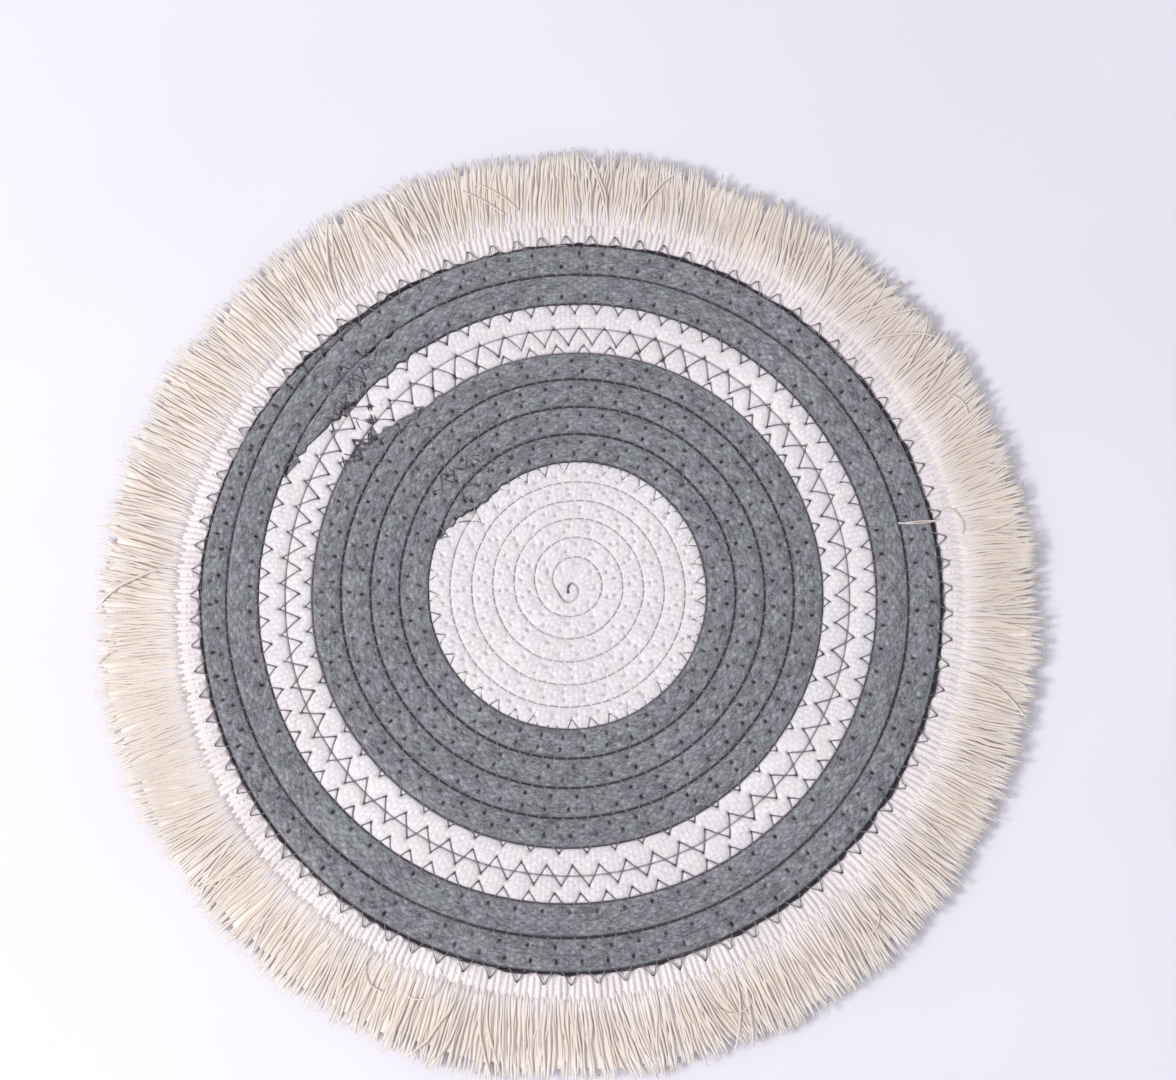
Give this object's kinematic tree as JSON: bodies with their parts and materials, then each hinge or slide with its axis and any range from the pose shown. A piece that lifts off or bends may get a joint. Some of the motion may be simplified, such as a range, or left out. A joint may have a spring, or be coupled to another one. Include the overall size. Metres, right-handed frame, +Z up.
{
  "type": "round fringed cotton rope placemat",
  "caption": "Round flat placemat of braided cotton rope coiled in grey and white rings, zigzag stitched, with a looped yarn fringe round its edge.",
  "frame": {"origin": "centre of the mat on its flat underside", "axes": "+Z up out of the top face; +Y away from the viewer, with the rope ends up and to the left of the middle"},
  "size_m": [0.2998, 0.2998, 0.0066],
  "materials": {
    "centre_rope": "off-white braided cotton rope, matt, sewn with off-white thread",
    "inner_grey_rope": "heathered mid-grey braided cotton rope, matt, sewn with grey thread",
    "white_band_rope": "pinkish-white braided cotton rope, matt, sewn with dark grey zigzag thread",
    "outer_grey_rope": "heathered mid-grey braided cotton rope, matt, sewn with grey thread",
    "fringe_yarn": "cream cotton yarn, looped heading and loose brushed ends"
  },
  "bodies": {
    "root": {"centre_coil": "centre_rope", "inner_grey_coil": "inner_grey_rope", "white_band_coil": "white_band_rope", "outer_grey_coil": "outer_grey_rope", "fringe_trim": "fringe_yarn"}
  },
  "joints": []
}
